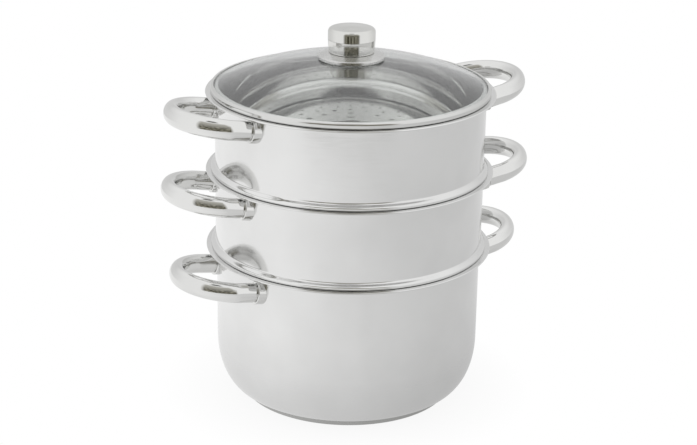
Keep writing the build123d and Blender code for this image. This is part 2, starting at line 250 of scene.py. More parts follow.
def copy_piece(piece: Object, name: str, place: Matrix) -> Object:
    """Copy a piece with its own mesh and move the copy's mesh.

    Args:
        piece: The finished piece.
        name: Name of the copy.
        place: How the copy's mesh is moved.

    Returns:
        The copy, with its origin at the frame's origin.
    """
    pick(piece)
    bpy.ops.object.duplicate(linked=False)
    copy = bpy.context.object
    copy.name = name
    copy.data.name = name
    copy.matrix_world = place @ copy.matrix_world
    apply_place()
    return copy


def dress(piece: Object, *materials: Material) -> None:
    """Give a piece its materials, the first of them on every face.

    Args:
        piece: The piece.
        materials: The materials.
    """
    piece.data.materials.clear()
    for material in materials:
        piece.data.materials.append(material)


def seat(piece: Object, body: str, slot: str, *nodes: str) -> None:
    """Let a finished piece stand for its solids and ride on its body.

    Args:
        piece: The finished piece.
        body: The body it moves with.
        slot: The material slot of the record; it is not used.
        nodes: The nodes it stands for.
    """
    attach(piece, body)
    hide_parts(*nodes)
    log.info("%s rides on %s with %d faces", piece.name, body, len(piece.data.polygons))


# Finishes


@dataclass(frozen=True)
class Ramp:
    """A value that runs from start to end while another runs from low to high."""

    low: float
    high: float
    start: float = 0.0
    end: float = 1.0


@dataclass
class Shader:
    """A node tree and short ways to fill it with numbers, colours and sockets."""

    tree: NodeTree

    def fill(self, node: Node, inputs: Inputs) -> Node:
        """Set inputs of a node to numbers or colours, or link sockets to them.

        Args:
            node: The node.
            inputs: The value of each input, by the input's name or number.

        Returns:
            The same node.
        """
        for key, value in inputs.items():
            socket = node.inputs[key]
            if isinstance(value, NodeSocket):
                self.tree.links.new(value, socket)
            elif socket.type == "RGBA":
                socket.default_value = (*value, 1)
            else:
                socket.default_value = value
        return node

    def add(self, kind: str, inputs: Inputs, **choices: str) -> Node:
        """Add a node, set its choices and fill its inputs.

        Args:
            kind: The node's type name.
            inputs: The value of each input, by the input's name or number.
            choices: Properties of the node.

        Returns:
            The new node.
        """
        node = self.tree.nodes.new(kind)
        for name, choice in choices.items():
            setattr(node, name, choice)
        return self.fill(node, inputs)

    def math(self, operation: str, first: Value, second: Value = 0.0) -> NodeSocket:
        """The result of a Math node of two numbers or sockets."""
        return self.add("ShaderNodeMath", {0: first, 1: second}, operation=operation).outputs[0]

    def vector_math(self, operation: str, first: Value, second: Value = (0, 0, 0)) -> Node:
        """A Vector Math node of two vectors or sockets."""
        return self.add("ShaderNodeVectorMath", {0: first, 1: second}, operation=operation)

    def spread(self, value: NodeSocket, ramp: Ramp) -> NodeSocket:
        """A value mapped by a ramp and held at the ramp's ends."""
        ends = {"From Min": ramp.low, "From Max": ramp.high, "To Min": ramp.start, "To Max": ramp.end}
        return self.add("ShaderNodeMapRange", {"Value": value, **ends}).outputs["Result"]

    def noise(self, where: NodeSocket, scale: float, detail: float) -> NodeSocket:
        """A noise pattern at some coordinates; a larger scale is finer."""
        inputs = {"Vector": where, "Scale": scale, "Detail": detail}
        return self.add("ShaderNodeTexNoise", inputs).outputs["Fac"]

    def place(self) -> NodeSocket:
        """The piece's own coordinates."""
        return self.add("ShaderNodeTexCoord", {}).outputs["Object"]

    def split(self, vector: NodeSocket) -> Sequence[NodeSocket]:
        """The X, Y and Z of a vector."""
        return self.add("ShaderNodeSeparateXYZ", {0: vector}).outputs

    def weigh(self, x: NodeSocket, y: NodeSocket, by_x: Value, by_y: Value) -> NodeSocket:
        """X times one value plus Y times the other."""
        return self.math("ADD", self.math("MULTIPLY", x, by_x), self.math("MULTIPLY", y, by_y))

    def flat_length(self, x: NodeSocket, y: NodeSocket) -> NodeSocket:
        """The length of X and Y together."""
        return self.math("SQRT", self.weigh(x, y, x, y))

    def blend(self, share: NodeSocket, first: Value, second: Value) -> NodeSocket:
        """The first colour at share 0, the second at share 1."""
        return self.add("ShaderNodeMix", {0: share, 6: first, 7: second}, data_type="RGBA").outputs[2]

    def bump(self, height: NodeSocket, depth: float, strength: float) -> NodeSocket:
        """The normal of a height pattern with a depth and a strength."""
        inputs = {"Strength": strength, "Distance": depth, "Height": height}
        return self.add("ShaderNodeBump", inputs).outputs["Normal"]

    def turned_place(self, fineness: float, sweep: float) -> NodeSocket:
        """Coordinates whose patterns are lines that run round the axis.

        Args:
            fineness: Lines per metre across the grain.
            sweep: How fast the pattern changes along a line, per radian.

        Returns:
            The coordinates.
        """
        x, y, z = self.split(self.place())
        across = self.math("MULTIPLY", self.flat_length(x, y), fineness)
        up = self.math("MULTIPLY", z, fineness)
        along = self.math("MULTIPLY", self.math("ARCTAN2", y, x), sweep)
        return self.add("ShaderNodeCombineXYZ", {0: across, 1: up, 2: along}).outputs[0]

    def seen_share(self, path: Node) -> NodeSocket:
        """1 for what the camera sees, directly, in metal or through glass, and else 0."""
        seen = self.math("MAXIMUM", path.outputs["Is Camera Ray"], path.outputs["Is Glossy Ray"])
        return self.math("MAXIMUM", seen, path.outputs["Is Transmission Ray"])


def new_shader(name: str) -> tuple[Material, Shader, Node]:
    """An empty material.

    Args:
        name: Its name.

    Returns:
        The material, its shader helper and its output node.
    """
    material = bpy.data.materials.new(name)
    material.use_nodes = True
    material.node_tree.nodes.clear()
    shader = Shader(material.node_tree)
    return material, shader, shader.add("ShaderNodeOutputMaterial", {})


def new_surface(name: str) -> tuple[Material, Shader, Node]:
    """An empty material with a Principled shader on its output.

    Args:
        name: Its name.

    Returns:
        The material, its shader helper and the Principled node.
    """
    material, shader, output = new_shader(name)
    surface = shader.add("ShaderNodeBsdfPrincipled", {})
    shader.fill(output, {"Surface": surface.outputs[0]})
    return material, shader, surface


def dimmed(colour: Colour, share: float) -> Colour:
    """A colour at a share of its brightness."""
    return tuple(share * part for part in colour)


@dataclass(frozen=True)
class Steel:
    """A steel finish: polishing lines, faint wipe marks and hairline scratches."""

    name: str
    colour: Colour
    roughness: float
    roughness_change: float = 0.04
    grain: Grain = Grain.AROUND
    fineness: float = 1300.0
    grain_depth: float = 0.00001
    grain_strength: float = 0.12
    line_sweep: float = 5.0
    line_span: Span = (0.3, 0.7)
    hair_sweep: float = 14.0
    hair_fineness: float = 2.2
    even_hair_fineness: float = 0.45
    scratch_span: Span = (0.66, 0.74)
    scratch_roughness: float = 0.05
    wipe_scale: float = 17.0
    wipe_tone_span: Span = (0.35, 0.65)
    wipe_tone_share: float = 0.955
    wipe_span: Span = (0.4, 0.7)
    wipe_roughness_share: float = 0.6
    wave_scale: float = 55.0
    wave_depth: float = 0.0

    def patterns(self, shader: Shader, place: NodeSocket) -> tuple[NodeSocket, NodeSocket]:
        """The polishing lines and the finer hairs among them.

        Args:
            shader: The material's shader helper.
            place: The piece's own coordinates.

        Returns:
            The lines and the hairs.
        """
        if self.grain is Grain.EVEN:
            lines = shader.noise(place, self.fineness, 3)
            return lines, shader.noise(place, self.fineness * self.even_hair_fineness, 2)
        lines = shader.noise(shader.turned_place(self.fineness, self.line_sweep), 1.0, 4)
        finer = shader.turned_place(self.fineness * self.hair_fineness, self.hair_sweep)
        return lines, shader.noise(finer, 1.0, 2)

    def material(self) -> Material:
        """Build the finish.

        Returns:
            The material.
        """
        material, shader, surface = new_surface(self.name)
        place = shader.place()
        lines, hairs = self.patterns(shader, place)
        wipes = shader.noise(place, self.wipe_scale, 3)
        wiped = shader.spread(wipes, Ramp(*self.wipe_tone_span))
        tone = shader.blend(wiped, self.colour, dimmed(self.colour, self.wipe_tone_share))
        change = self.roughness_change
        rough = Ramp(*self.line_span, self.roughness - change, self.roughness + change)
        scratched = Ramp(*self.scratch_span, 0.0, self.scratch_roughness)
        smeared = Ramp(*self.wipe_span, 0.0, change * self.wipe_roughness_share)
        total = shader.math("ADD", shader.spread(lines, rough), shader.spread(hairs, scratched))
        total = shader.math("ADD", total, shader.spread(wipes, smeared))
        height = lines
        if self.wave_depth > 0:
            waves = shader.noise(place, self.wave_scale, 1)
            waves = shader.math("MULTIPLY", waves, self.wave_depth / self.grain_depth)
            height = shader.math("ADD", waves, lines)
        normal = shader.bump(height, self.grain_depth, self.grain_strength)
        look = {"Metallic": 1.0, "Base Color": tone, "Roughness": total, "Normal": normal}
        shader.fill(surface, look)
        return material


@dataclass(frozen=True)
class Glass:
    """Tempered clear glass with a faint grey-green body and wipe marks."""

    name: str = "clear lid glass"
    colour: Colour = (0.93, 0.945, 0.94)
    index: float = 1.5
    wipe_scale: float = 9.0
    wipe_tone_share: float = 0.985
    smears: Ramp = Ramp(0.5, 0.75, 0.0, 0.035)
    wave_scale: float = 24.0
    wave_depth: float = 0.0001
    wave_strength: float = 0.05

    def material(self) -> Material:
        """Build the glass.

        Returns:
            The material.
        """
        material, shader, surface = new_surface(self.name)
        place = shader.place()
        wipes = shader.noise(place, self.wipe_scale, 4)
        waves = shader.noise(place, self.wave_scale, 1)
        look = {
            "Transmission Weight": 1.0,
            "IOR": self.index,
            "Base Color": shader.blend(wipes, self.colour, dimmed(self.colour, self.wipe_tone_share)),
            "Roughness": shader.spread(wipes, self.smears),
            "Normal": shader.bump(waves, self.wave_depth, self.wave_strength),
        }
        shader.fill(surface, look)
        return material


@dataclass(frozen=True)
class Silicone:
    """Milky silicone of the two gaskets."""

    name: str = "milky silicone"
    colour: Colour = (0.72, 0.73, 0.71)
    light_share: float = 0.3
    light_depth: float = 0.002
    shine: float = 0.4
    cloud_scale: float = 260.0
    cloud_tone_share: float = 0.9
    clouds: Ramp = Ramp(0.3, 0.7, 0.42, 0.56)
    cloud_depth: float = 0.00004
    cloud_strength: float = 0.3

    def material(self) -> Material:
        """Build the silicone.

        Returns:
            The material.
        """
        material, shader, surface = new_surface(self.name)
        cloud = shader.noise(shader.place(), self.cloud_scale, 4)
        look = {
            "Subsurface Weight": self.light_share,
            "Subsurface Radius": (self.light_depth,) * 3,
            "Specular IOR Level": self.shine,
            "Base Color": shader.blend(cloud, self.colour, dimmed(self.colour, self.cloud_tone_share)),
            "Roughness": shader.spread(cloud, self.clouds),
            "Normal": shader.bump(cloud, self.cloud_depth, self.cloud_strength),
        }
        shader.fill(surface, look)
        return material


def made(finish: Steel | Glass | Silicone) -> Field:
    """A field that builds a finish's material when the set is made."""
    return field(default_factory=finish.material)


@dataclass
class Finishes:
    """Every material of the set, built once."""

    satin: Material = made(Steel("satin wall steel", (0.78, 0.78, 0.775), 0.1))
    mirror: Material = made(Steel("bright inside steel", (0.87, 0.87, 0.86), 0.03, 0.012))
    bright: Material = made(
        Steel(
            "mirror tube steel",
            (0.76, 0.76, 0.75),
            roughness=0.07,
            roughness_change=0.02,
            grain=Grain.EVEN,
            fineness=700.0,
            grain_strength=0.25,
            scratch_roughness=0.03,
            wave_depth=0.00008,
        )
    )
    ring: Material = made(Steel("rolled ring steel", (0.7, 0.7, 0.69), 0.07, 0.025))
    knob: Material = made(Steel("turned knob steel", (0.72, 0.72, 0.7), 0.06, 0.02))
    plate: Material = made(Steel("satin plate steel", (0.66, 0.66, 0.65), 0.24, 0.05))
    base: Material = made(
        Steel(
            "brushed base steel",
            (0.5, 0.5, 0.49),
            roughness=0.26,
            roughness_change=0.07,
            fineness=900.0,
            grain_depth=0.00003,
            grain_strength=0.35,
        )
    )
    core: Material = made(
        Steel("cast core aluminium", (0.7, 0.7, 0.71), 0.4, grain=Grain.EVEN, fineness=500.0)
    )
    plain: Material = made(
        Steel("plain screw steel", (0.52, 0.52, 0.51), 0.28, 0.06, fineness=1800.0)
    )
    glass: Material = made(Glass())
    silicone: Material = made(Silicone())


# Vessels


@dataclass
class Rim:
    """Flared rim that every vessel has: a concave sweep out to a flat rounded lip."""

    lip_radius: float = 0.150
    lip_thickness: float = 0.0018
    flare_outside: float = 0.0032
    flare_inside: float = 0.0036
    lead: float = 1.3
    steps: int = 8

    def profile(self, wall: float, sheet: float, rim: float) -> list[Point]:
        """Points from the wall's outside over the lip to the wall's inside.

        Args:
            wall: Outside radius of the wall.
            sheet: Thickness of the wall.
            rim: Height of the rim.

        Returns:
            The profile's points.
        """
        under = rim - self.lip_thickness
        edge = self.lip_thickness / 2
        inner = wall - sheet
        outside = self.flare_outside
        inside = self.flare_inside
        points = [(wall, under - self.lead * outside)]
        points += arc((wall + outside, under - outside), outside, 180, 90, self.steps)
        points += arc((self.lip_radius - edge, rim - edge), edge, -90, 90, self.steps)
        points += arc((inner + inside, rim - inside), inside, 90, 180, self.steps)
        points += [(inner, rim - self.lead * inside)]
        return points


@dataclass
class StockPot:
    """Deep-drawn stock pot with its sandwich base."""

    wall_radius: float = 0.139
    sheet: float = 0.0008
    height: float = 0.163
    corner_width: float = 0.028
    corner_height: float = 0.054
    base_height: float = 0.006
    base_radius: float = 0.112
    base_sheet: float = 0.0006
    base_edge: float = 0.002
    base_gap: float = 0.00005
    rim: Rim = field(default_factory=Rim)

    def model_body(self) -> Object:
        """Turn the pot's body.

        Returns:
            The body.
        """
        sheet = self.sheet
        low = self.base_height
        flat = self.wall_radius - self.corner_width
        corner = (flat, low + self.corner_height)
        profile = [(0.0, low), (flat / 2, low)]
        profile += oval_arc(corner, self.corner_width, self.corner_height, 270, 360)
        profile += self.rim.profile(self.wall_radius, sheet, self.height)
        profile += oval_arc(corner, self.corner_width - sheet, self.corner_height - sheet, 360, 270)
        profile += [(flat / 2, low + sheet), (0.0, low + sheet)]
        return turn_on_axis("pot_body_turned", profile)

    def model_base(self) -> Object:
        """Turn the steel cap that wraps the base's disc.

        Returns:
            The cap.
        """
        top = self.base_height - self.base_gap
        edge = self.base_edge
        outer = self.base_radius
        sheet = self.base_sheet
        bend = edge - sheet
        profile = [(0.0, 0.0), (outer / 2, 0.0)]
        profile += arc((outer - edge, edge), edge, 270, 360, 8)
        profile += arc((outer - sheet / 2, top - sheet / 2), sheet / 2, 0, 180, 6)
        profile += arc((outer - sheet - bend, edge), bend, 360, 270, 6)
        profile += [(outer / 2, sheet), (0.0, sheet)]
        return turn_on_axis("base_cap_turned", profile)

    def build(self, finishes: Finishes) -> None:
        """Model, dress and seat the pot's body and base.

        Args:
            finishes: The finishes of the whole set.
        """
        body = self.model_body()
        dress(body, finishes.satin)
        seat(body, "pot", "satin_steel", "pot_body")
        base = self.model_base()
        dress(base, finishes.base)
        seat(base, "pot", "base_steel", "base_cap")
        dress(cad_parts["base_core"], finishes.core)


@dataclass
class Steamer:
    """Steamer: pierced floor, nesting neck, rounded seat bead, wall and flared rim."""

    wall_radius: float = 0.1402
    sheet: float = 0.0007
    neck_radius: float = 0.1368
    nest_depth: float = 0.018
    floor_corner: float = 0.008
    bead_radius: float = 0.1448
    bead_side: float = 0.0028
    bead_height: float = 0.0072
    bead_edge: float = 0.001
    seat_clearance: float = 0.0003
    pitch: float = 0.083
    seat_level: float = 0.163
    hole_radius: float = 0.002
    hole_sides: int = 20
    punch_depth: float = 0.004
    ring_step: float = 0.017
    ring_count: int = 6
    holes_per_step: int = 6
    inward_limit: float = -1e-4
    level_limit: float = 0.7
    rim: Rim = field(default_factory=Rim)

    def floor_level(self) -> float:
        """Height of the floor's underside."""
        return self.seat_level - self.nest_depth

    def profile(self) -> list[Point]:
        """The shell's closed section without its flat floor.

        Returns:
            Points from the floor's underside round the outside to the floor's top.
        """
        sheet = self.sheet
        bend = self.floor_corner
        edge = self.bead_edge
        centre = (self.neck_radius - bend, self.floor_level() + bend)
        low = self.seat_level + self.seat_clearance
        side = self.seat_level + self.bead_side
        top = self.seat_level + self.bead_height
        fold = (self.bead_radius - edge, low + edge)
        points = arc(centre, bend, 270, 360, 10)
        points += [(self.neck_radius, low)]
        points += arc(fold, edge, -90, 0, 6)
        points += self.shoulder(side, top, self.bead_radius, self.wall_radius)
        points += self.rim.profile(self.wall_radius, sheet, self.seat_level + self.pitch)
        points += self.shoulder(side, top, self.bead_radius - sheet, self.wall_radius - sheet)[::-1]
        points += arc(fold, edge - sheet, 0, -90, 4)
        points += [(self.neck_radius - sheet, low + sheet)]
        points += arc(centre, bend - sheet, 360, 270, 10)
        return points

    def shoulder(self, low: float, high: float, start: float, end: float) -> list[Point]:
        """The soft slope from the bead's side in to the wall.

        Args:
            low: Height of its foot.
            high: Height of its top.
            start: Radius at its foot.
            end: Radius at its top.

        Returns:
            Points from foot to top, and one just above that holds the wall straight.
        """
        shares = [step / 10 for step in range(11)]
        points = [
            (start + (end - start) * soft_share(share), low + (high - low) * share)
            for share in shares
        ]
        return [*points, (end, high + self.bead_edge)]

    def model_punch(self) -> Object:
        """All the steam holes as one set of short rods.

        Returns:
            The rods, joined.
        """
        places = [(0.0, 0.0)]
        for ring in range(1, self.ring_count + 1):
            count = ring * self.holes_per_step
            radius = ring * self.ring_step
            turns = [2 * pi * hole / count for hole in range(count)]
            places += [(radius * cos(turn), radius * sin(turn)) for turn in turns]
        punch = upright_rod(self.hole_sides, self.hole_radius, self.punch_depth, self.floor_level())
        bpy.ops.object.mode_set(mode="EDIT")
        for (x0, y0), (x1, y1) in pairwise(places):
            bpy.ops.mesh.duplicate_move(TRANSFORM_OT_translate={"value": (x1 - x0, y1 - y0, 0)})
        bpy.ops.object.mode_set(mode="OBJECT")
        return punch

    def model_shell(self) -> Object:
        """Turn the lower shell, close its flat floor and pierce it.

        Returns:
            The shell.
        """
        shell = turn_on_axis("lower_steamer_turned", self.profile())
        fill_openings(shell)
        cut(shell, self.model_punch(), "DIFFERENCE")
        return finish_mesh(shell)

    def mark_inside(self, shell: Object) -> None:
        """Put the faces that look inwards or up from the floor on the inside's material.

        Args:
            shell: The shell, already dressed.
        """
        for face in shell.data.polygons:
            centre = Vector((face.center.x, face.center.y))
            outwards = face.normal.x * centre.x + face.normal.y * centre.y
            hidden = outwards < self.inward_limit or face.normal.z > self.level_limit
            inside = hidden and centre.length < self.wall_radius
            face.material_index = Skin.INSIDE.value if inside else Skin.OUTSIDE.value

    def build(self, finishes: Finishes) -> None:
        """Model, dress and seat the two steamers' shells.

        Args:
            finishes: The finishes of the whole set.
        """
        lower = self.model_shell()
        upper = copy_piece(lower, "upper_steamer_turned", Matrix.Translation((0, 0, self.pitch)))
        for shell, body in ((lower, "lower_steamer"), (upper, "upper_steamer")):
            dress(shell, finishes.satin, finishes.mirror)
            self.mark_inside(shell)
            seat(shell, body, "satin_steel", f"{body}_shell")


@dataclass
class LoopHandle:
    """Hollow oval loop on two collars, the same on every vessel."""

    half_width: float = 0.008
    half_height: float = 0.010
    half_spread: float = 0.0464
    leg: float = 0.0224
    bow: float = 0.0425
    corner: float = 0.026
    rise: float = 9.6
    sides: int = 40
    end_edge: float = 0.0006
    end_round_share: float = 0.3
    neck_show: float = 0.0064
    neck_inset: float = 0.0013
    neck_reach: float = 0.009
    neck_edge: float = 0.0004
    neck_back_share: float = 0.9
    collar_gap: float = 0.0012
    collar_margin: float = 0.002
    collar_edge: float = 0.0009
    collar_sides: int = 64
    tip_slack: float = 1e-5
    wall_gap: float = 0.00005
    wall_height: float = 0.1
    wall_sides: int = 256
    rim_gap: float = 0.0016
    rim_height: float = 0.02

    def place(self, wall: float, level: float, turn: float, side: Side) -> Matrix:
        """Where a handle modelled flat at the origin goes.

        Args:
            wall: Outside radius of the wall.
            level: Height of the legs' feet.
            turn: Turn about the stack's axis.
            side: Which end of X.

        Returns:
            The placing matrix.
        """
        run = sqrt(wall**2 - self.half_spread**2)
        azimuth = radians(turn) + (0 if side is Side.RIGHT else pi)
        tilt = Matrix.Rotation(radians(-self.rise), 4, "Y")
        foot = Matrix.Translation((run, 0, 0))
        return Matrix.Translation((0, 0, level)) @ Matrix.Rotation(azimuth, 4, "Z") @ foot @ tilt

    def model_loop(self) -> Object:
        """Model the loop flat at the origin: leg, corner, bow, corner, leg.

        Returns:
            The loop.
        """
        spread = self.half_spread
        lean = atan((self.bow - self.corner) / (spread - self.corner))
        corner_turn = pi / 2 - 2 * lean
        bow_radius = self.corner + (spread - self.corner) / cos(corner_turn)
        bow_centre = self.leg + self.bow - bow_radius
        inset = self.end_edge
        full = self.half_width
        eased = full - inset * self.end_round_share
        runs = (inset * self.end_round_share, inset * (1 - self.end_round_share))
        grows = (eased / (full - inset), full / eased)
        straight = self.leg - self.neck_show - inset
        deselect()
        bpy.ops.mesh.primitive_circle_add(vertices=self.sides, radius=1, fill_type="NOTHING")
        loop = bpy.context.object
        loop.name = "loop"
        bpy.ops.object.mode_set(mode="EDIT")
        bpy.ops.mesh.select_mode(type="VERT")
        bpy.ops.mesh.select_all(action="SELECT")
        bpy.ops.transform.resize(value=(self.half_height - inset, full - inset, 1))
        bpy.ops.transform.rotate(value=pi / 2, orient_axis="Y", center_override=(0, 0, 0))
        bpy.ops.transform.translate(value=(self.neck_show, -spread, 0))
        for run, grow in zip(runs, grows):
            self.draw_on(run)
            self.scale_ring(grow, -spread)
        self.draw_on(straight)
        self.spin_on((self.leg, self.corner - spread), corner_turn, 14)
        self.spin_on((bow_centre, 0), pi - 2 * corner_turn, 44)
        self.spin_on((self.leg, spread - self.corner), corner_turn, 14)
        self.draw_on(-straight)
        for run, grow in zip(runs[::-1], grows[::-1]):
            self.draw_on(-run)
            self.scale_ring(1 / grow, spread)
        fill_openings(loop)
        return finish_mesh(loop, sharp=50)

    def draw_on(self, run: float) -> None:
        """Extrude the selected ring along the leg."""
        bpy.ops.mesh.extrude_region_move(TRANSFORM_OT_translate={"value": (run, 0, 0)})

    def scale_ring(self, grow: float, across: float) -> None:
        """Scale the selected ring about its own middle, which lies so far across."""
        bpy.ops.transform.resize(value=(1, grow, grow), center_override=(0, across, 0))

    def spin_on(self, centre: Point, angle: float, steps: int) -> None:
        """Carry the selected ring round a centre by an angle in radians.

        Args:
            centre: X and Y of the bend's centre.
            angle: The turn in radians.
            steps: Number of rings.
        """
        bpy.ops.mesh.spin(
            steps=steps, angle=-angle, center=(*centre, 0), axis=(0, 0, 1), use_auto_merge=False
        )

    def model_collar(self, place: Matrix, wall: float, level: float, flare: float, end: int) -> Object:
        """Model one collar with its neck and fit it to the round wall.

        Args:
            place: Where the handle goes.
            wall: Outside radius of the wall.
            level: Height of the legs' feet.
            flare: Height where the rim starts to flare.
            end: -1 or 1, which leg.

        Returns:
            The collar in its place.
        """
        back = self.half_width
        show = self.neck_show - self.collar_gap
        reach = self.neck_show + self.neck_reach
        collar = self.oval_rod(self.collar_margin, -back, show, end, self.collar_edge)
        neck = self.oval_rod(-self.neck_inset, -back * self.neck_back_share, reach, end, self.neck_edge)
        cut(collar, neck, "UNION")
        pick(collar)
        collar.matrix_world = place
        apply_place()
        for radius, height, middle in (
            (wall + self.wall_gap, self.wall_height, level),
            (wall + self.rim_gap, self.rim_height, flare + self.rim_height / 2),
        ):
            cut(collar, upright_rod(self.wall_sides, radius, height, middle), "DIFFERENCE")
        return finish_mesh(collar, sharp=40)

    def oval_rod(self, margin: float, start: float, stop: float, end: int, edge: float) -> Object:
        """An oval rod along a leg with its outer end rounded over.

        Args:
            margin: How far its surface lies outside the tube's.
            start: Where it starts along the leg.
            stop: Where it stops.
            end: -1 or 1, which leg.
            edge: Radius of the rounding.

        Returns:
            The rod.
        """
        size = (self.half_height + margin, self.half_width + margin, stop - start)
        deselect()
        bpy.ops.mesh.primitive_cylinder_add(vertices=self.collar_sides, radius=1, depth=1)
        rod = bpy.context.object
        bpy.ops.object.mode_set(mode="EDIT")
        bpy.ops.mesh.select_all(action="SELECT")
        bpy.ops.transform.resize(value=size)
        bpy.ops.transform.rotate(value=pi / 2, orient_axis="Y", center_override=(0, 0, 0))
        bpy.ops.transform.translate(value=((start + stop) / 2, end * self.half_spread, 0))
        bpy.ops.object.mode_set(mode="OBJECT")
        tip = stop - self.tip_slack
        for line in rod.data.edges:
            line.select = all(rod.data.vertices[corner].co.x > tip for corner in line.vertices)
        for face in rod.data.polygons:
            face.select = False
        bpy.ops.object.mode_set(mode="EDIT")
        bpy.ops.mesh.select_mode(type="EDGE")
        bpy.ops.mesh.bevel(offset=edge, segments=4, affect="EDGES")
        bpy.ops.object.mode_set(mode="OBJECT")
        return rod


@dataclass
class Tier:
    """Where the two handles of one vessel stand."""

    body: str
    wall_radius: float
    rim_level: float
    handle_drop: float
    turn: float
    handle: LoopHandle = field(default_factory=LoopHandle)

    def build_handles(self, loop: Object, finishes: Finishes) -> None:
        """Copy the loop to both sides and fit its collars.

        Args:
            loop: The loop modelled flat at the origin.
            finishes: The finishes of the whole set.
        """
        wall = self.wall_radius
        level = self.rim_level - self.handle_drop
        flare = self.rim_level - Rim.lip_thickness - Rim.flare_outside
        for side in Side:
            side_name = side.name.lower()
            place = self.handle.place(wall, level, self.turn, side)
            tube = copy_piece(loop, f"{self.body}_loop_{side_name}", place)
            dress(tube, finishes.bright)
            seat(tube, self.body, "polished_steel", f"{self.body}_handle_{side_name}")
            for end_name, end in (("front", -side.value), ("rear", side.value)):
                collar = self.handle.model_collar(place, wall, level, flare, end)
                collar.name = f"{self.body}_collar_{side_name}_{end_name}"
                collar.data.name = collar.name
                dress(collar, finishes.bright)
                node = f"{self.body}_bracket_{side_name}_{end_name}"
                seat(collar, self.body, "polished_steel", node)


@dataclass
class GlassLid:
    """Domed glass in its rolled steel ring, with the fixing under it."""

    level: float = 0.329
    thickness: float = 0.004
    crown: float = 0.035
    edge_height: float = 0.005
    edge_radius: float = 0.1424
    edge_gap: float = 0.0002
    glass_gap: float = 0.0001
    hole_radius: float = 0.0045
    ring_radius: float = 0.1448
    ring_height: float = 0.006
    ring_inner: float = 0.1412
    ring_corner: float = 0.0012
    ring_bulge: float = 0.0024
    bulge_drop: float = 0.0018
    bead_edge: float = 0.0008
    skirt_radius: float = 0.1372
    skirt_depth: float = 0.008
    skirt_lift: float = 0.0002
    sheet: float = 0.0009
    seat_clearance: float = 0.0003
    sectors: int = 224

    def dome(self) -> Point:
        """Radius of the dome's outside and height of its centre."""
        rise = self.crown - self.edge_height
        radius = (self.edge_radius**2 + rise**2) / (2 * rise)
        return radius, self.level + self.crown - radius

    def model_glass(self) -> Object:
        """Turn the dome with its middle hole.

        Returns:
            The glass.
        """
        radius, centre = self.dome()
        edge = 90 - degrees(asin(self.edge_radius / radius))
        hole = 90 - degrees(asin(self.hole_radius / radius))
        profile = arc((0, centre), radius, hole, edge, 40)
        profile += arc((0, centre), radius - self.thickness, edge, hole, 40)
        return turn_on_axis("lid_glass_domed", [*profile, profile[0]], self.sectors)

    def model_ring(self) -> Object:
        """Turn the rolled ring: rounded outside, bead over the glass, skirt below.

        Returns:
            The ring.
        """
        sheet = self.sheet
        skirt = self.skirt_radius
        low = self.level + self.seat_clearance
        top = self.level + self.ring_height
        bottom = self.level - self.skirt_depth
        corner = self.ring_corner
        outer = self.ring_radius - corner
        bulge = (self.ring_radius - self.ring_bulge, top - self.bulge_drop)
        bead = self.bead_edge
        glass_edge = self.edge_radius + self.edge_gap
        foot = skirt - 2 * sheet
        gap = self.glass_gap
        profile = [(skirt - sheet, bottom + self.skirt_lift)]
        profile += arc((skirt - sheet / 2, bottom + sheet / 2), sheet / 2, 200, 360, 6)
        profile += [(skirt, low), (outer, low)]
        profile += arc((outer, low + corner), corner, -70, 0, 5)
        profile += arc(bulge, self.ring_bulge, 0, 70, 10)
        profile += arc((self.ring_inner + bead, top + sheet - bead), bead, 85, 170, 6)
        profile += [
            (self.ring_inner, self.glass_at(self.ring_inner, inside=False) + gap),
            (glass_edge, self.glass_at(self.edge_radius, inside=False) + gap),
            (glass_edge, self.glass_at(self.edge_radius, inside=True) - gap),
            (foot, self.glass_at(foot, inside=True) - gap),
            (foot, self.level - sheet),
            (skirt - sheet, self.level - 2 * sheet),
        ]
        return turn_on_axis("lid_ring_rolled", [*profile, profile[0]], self.sectors)

    def glass_at(self, radius: float, inside: bool) -> float:
        """Height of the glass at a radius.

        Args:
            radius: Distance from the axis.
            inside: Whether the lower surface is meant.

        Returns:
            The height.
        """
        dome, centre = self.dome()
        if inside:
            dome -= self.thickness
        return centre + sqrt(dome**2 - radius**2)

    def build(self, finishes: Finishes) -> None:
        """Model, dress and seat the glass and the ring, and dress the small parts.

        Args:
            finishes: The finishes of the whole set.
        """
        glass = self.model_glass()
        dress(glass, finishes.glass)
        seat(glass, "lid", "lid_glass", "lid_glass")
        ring = self.model_ring()
        dress(ring, finishes.ring)
        seat(ring, "lid", "polished_steel", "lid_ring")
        for node in ("upper_gasket", "lower_gasket"):
            dress(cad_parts[node], finishes.silicone)
        for node in ("lower_washer", "knob_screw", "knob_insert"):
            dress(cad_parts[node], finishes.plain)


